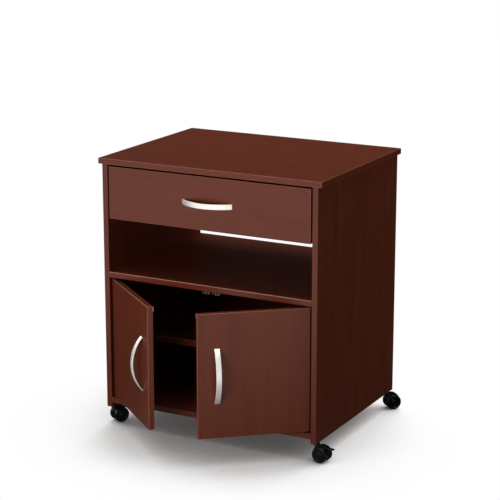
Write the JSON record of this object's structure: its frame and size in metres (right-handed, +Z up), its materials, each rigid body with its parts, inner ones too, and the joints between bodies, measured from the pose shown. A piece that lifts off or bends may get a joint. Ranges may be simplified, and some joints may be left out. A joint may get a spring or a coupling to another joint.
{
  "type": "microwave cart",
  "caption": "Rolling kitchen cart with a drawer under its top, an open niche and a two-door cabinet on twin-wheel casters.",
  "frame": {"origin": "on the floor, in the middle of the rectangle that the cart covers as it stands with its doors ajar", "axes": "+X to the right as seen from the front, +Y towards the back, +Z up"},
  "size_m": [0.7258, 0.7079, 0.759],
  "materials": {
    "laminate": "satin dark cherry laminate with wood grain",
    "hardboard": "matte hardboard",
    "drawer_board": "matte off-white melamine on board",
    "handle_metal": "satin",
    "hinge_steel": "satin",
    "zinc": "zinc plated",
    "slide_enamel": "white enamel",
    "roller_nylon": "matte",
    "catch_plastic": "matte grey",
    "caster_plastic": "black, slightly glossy"
  },
  "bodies": {
    "cabinet": {"top_panel": "laminate", "left_side_panel": "laminate", "right_side_panel": "laminate", "fixed_shelf": "laminate", "bottom_panel": "laminate", "adjustable_shelf": "laminate", "back_panel": "hardboard", "rear_stretcher": "laminate", "shelf_pins": "zinc", "cam_locks": "zinc", "cam_bolts": "zinc", "back_nails": "zinc", "left_cabinet_rail": "slide_enamel", "right_cabinet_rail": "slide_enamel", "small_screws": "zinc", "magnetic_catch": "catch_plastic", "cabinet_hinge_leaves": "hinge_steel", "caster_sockets": "caster_plastic", "caster_stems": "zinc"},
    "drawer": {"drawer_front": "laminate", "drawer_left_side": "drawer_board", "drawer_right_side": "drawer_board", "drawer_back": "drawer_board", "drawer_bottom": "drawer_board", "left_drawer_runner": "slide_enamel", "right_drawer_runner": "slide_enamel", "drawer_handle": "handle_metal", "drawer_handle_screws": "zinc"},
    "left_cabinet_roller": {"left_cabinet_roller": "roller_nylon"},
    "left_drawer_roller": {"left_drawer_roller": "roller_nylon"},
    "left_door": {"left_door": "laminate", "left_door_handle": "handle_metal", "left_handle_screws": "zinc", "left_hinge_leaves": "hinge_steel", "left_strike_plate": "zinc"},
    "right_cabinet_roller": {"right_cabinet_roller": "roller_nylon"},
    "right_drawer_roller": {"right_drawer_roller": "roller_nylon"},
    "right_door": {"right_door": "laminate", "right_door_handle": "handle_metal", "right_handle_screws": "zinc", "right_hinge_leaves": "hinge_steel", "right_strike_plate": "zinc"},
    "front_left_caster": {"front_left_caster_hood": "caster_plastic", "front_left_caster_axle": "zinc"},
    "front_left_inner_wheel": {"front_left_inner_wheel": "caster_plastic"},
    "front_left_outer_wheel": {"front_left_outer_wheel": "caster_plastic"},
    "front_left_brake_lever": {"front_left_brake_lever": "caster_plastic"},
    "front_right_caster": {"front_right_caster_hood": "caster_plastic", "front_right_caster_axle": "zinc"},
    "front_right_inner_wheel": {"front_right_inner_wheel": "caster_plastic"},
    "front_right_outer_wheel": {"front_right_outer_wheel": "caster_plastic"},
    "front_right_brake_lever": {"front_right_brake_lever": "caster_plastic"},
    "rear_left_caster": {"rear_left_caster_hood": "caster_plastic", "rear_left_caster_axle": "zinc"},
    "rear_left_inner_wheel": {"rear_left_inner_wheel": "caster_plastic"},
    "rear_left_outer_wheel": {"rear_left_outer_wheel": "caster_plastic"},
    "rear_right_caster": {"rear_right_caster_hood": "caster_plastic", "rear_right_caster_axle": "zinc"},
    "rear_right_inner_wheel": {"rear_right_inner_wheel": "caster_plastic"},
    "rear_right_outer_wheel": {"rear_right_outer_wheel": "caster_plastic"}
  },
  "joints": [
    {"name": "drawer_slide", "type": "slide", "parent": "cabinet", "child": "drawer", "axis": [0, -1, 0], "range_m": [0, 0.3]},
    {"name": "left_door_hinge", "type": "hinge", "parent": "cabinet", "child": "left_door", "pos_m": [-0.3016, -0.16525, 0.084], "axis": [0, 0, -1], "range_deg": [-40, 75]},
    {"name": "left_cabinet_roller_spin", "type": "hinge", "parent": "cabinet", "child": "left_cabinet_roller", "pos_m": [-0.3074, -0.13825, 0.6175], "axis": [1, 0, 0], "range_deg": [0, 2160]},
    {"name": "left_drawer_roller_spin", "type": "hinge", "parent": "drawer", "child": "left_drawer_roller", "pos_m": [-0.3074, 0.23575, 0.6175], "axis": [1, 0, 0], "range_deg": [0, 2160]},
    {"name": "right_door_hinge", "type": "hinge", "parent": "cabinet", "child": "right_door", "pos_m": [0.2884, -0.16525, 0.084], "axis": [0, 0, 1], "range_deg": [-40, 75]},
    {"name": "right_cabinet_roller_spin", "type": "hinge", "parent": "cabinet", "child": "right_cabinet_roller", "pos_m": [0.2942, -0.13825, 0.6175], "axis": [1, 0, 0], "range_deg": [0, 2160]},
    {"name": "right_drawer_roller_spin", "type": "hinge", "parent": "drawer", "child": "right_drawer_roller", "pos_m": [0.2942, 0.23575, 0.6175], "axis": [1, 0, 0], "range_deg": [0, 2160]},
    {"name": "front_left_caster_swivel", "type": "hinge", "parent": "cabinet", "child": "front_left_caster", "pos_m": [-0.3226, -0.14525, 0.04], "axis": [0, 0, 1], "continuous": true},
    {"name": "front_left_inner_wheel_spin", "type": "hinge", "parent": "front_left_caster", "child": "front_left_inner_wheel", "pos_m": [-0.31425, -0.13078, 0.0216], "axis": [-0.866, 0.5, 0], "continuous": true},
    {"name": "front_left_outer_wheel_spin", "type": "hinge", "parent": "front_left_caster", "child": "front_left_outer_wheel", "pos_m": [-0.31425, -0.13078, 0.0216], "axis": [-0.866, 0.5, 0], "continuous": true},
    {"name": "front_left_brake_press", "type": "hinge", "parent": "front_left_caster", "child": "front_left_brake_lever", "pos_m": [-0.30725, -0.11866, 0.0416], "axis": [-0.866, 0.5, 0], "range_deg": [0, 18]},
    {"name": "front_right_caster_swivel", "type": "hinge", "parent": "cabinet", "child": "front_right_caster", "pos_m": [0.3094, -0.14525, 0.04], "axis": [0, 0, 1], "continuous": true},
    {"name": "front_right_inner_wheel_spin", "type": "hinge", "parent": "front_right_caster", "child": "front_right_inner_wheel", "pos_m": [0.32599, -0.14714, 0.0216], "axis": [0.1132, 0.9936, 0], "continuous": true},
    {"name": "front_right_outer_wheel_spin", "type": "hinge", "parent": "front_right_caster", "child": "front_right_outer_wheel", "pos_m": [0.32599, -0.14714, 0.0216], "axis": [0.1132, 0.9936, 0], "continuous": true},
    {"name": "front_right_brake_press", "type": "hinge", "parent": "front_right_caster", "child": "front_right_brake_lever", "pos_m": [0.3399, -0.14872, 0.0416], "axis": [0.1132, 0.9936, 0], "range_deg": [0, 18]},
    {"name": "rear_left_caster_swivel", "type": "hinge", "parent": "cabinet", "child": "rear_left_caster", "pos_m": [-0.3226, 0.31375, 0.04], "axis": [0, 0, 1], "continuous": true},
    {"name": "rear_left_inner_wheel_spin", "type": "hinge", "parent": "rear_left_caster", "child": "rear_left_inner_wheel", "pos_m": [-0.3392, 0.31564, 0.0216], "axis": [-0.1132, -0.9936, 0], "continuous": true},
    {"name": "rear_left_outer_wheel_spin", "type": "hinge", "parent": "rear_left_caster", "child": "rear_left_outer_wheel", "pos_m": [-0.3392, 0.31564, 0.0216], "axis": [-0.1132, -0.9936, 0], "continuous": true},
    {"name": "rear_right_caster_swivel", "type": "hinge", "parent": "cabinet", "child": "rear_right_caster", "pos_m": [0.3094, 0.31375, 0.04], "axis": [0, 0, 1], "continuous": true},
    {"name": "rear_right_inner_wheel_spin", "type": "hinge", "parent": "rear_right_caster", "child": "rear_right_inner_wheel", "pos_m": [0.32057, 0.32616, 0.0216], "axis": [-0.7431, 0.6691, 0], "continuous": true},
    {"name": "rear_right_outer_wheel_spin", "type": "hinge", "parent": "rear_right_caster", "child": "rear_right_outer_wheel", "pos_m": [0.32057, 0.32616, 0.0216], "axis": [-0.7431, 0.6691, 0], "continuous": true}
  ],
  "couplings": [
    {"joint": "left_cabinet_roller_spin", "follows": "drawer_slide", "rad_per_m": 125},
    {"joint": "left_drawer_roller_spin", "follows": "drawer_slide", "rad_per_m": 125},
    {"joint": "right_cabinet_roller_spin", "follows": "drawer_slide", "rad_per_m": 125},
    {"joint": "right_drawer_roller_spin", "follows": "drawer_slide", "rad_per_m": 125}
  ]
}
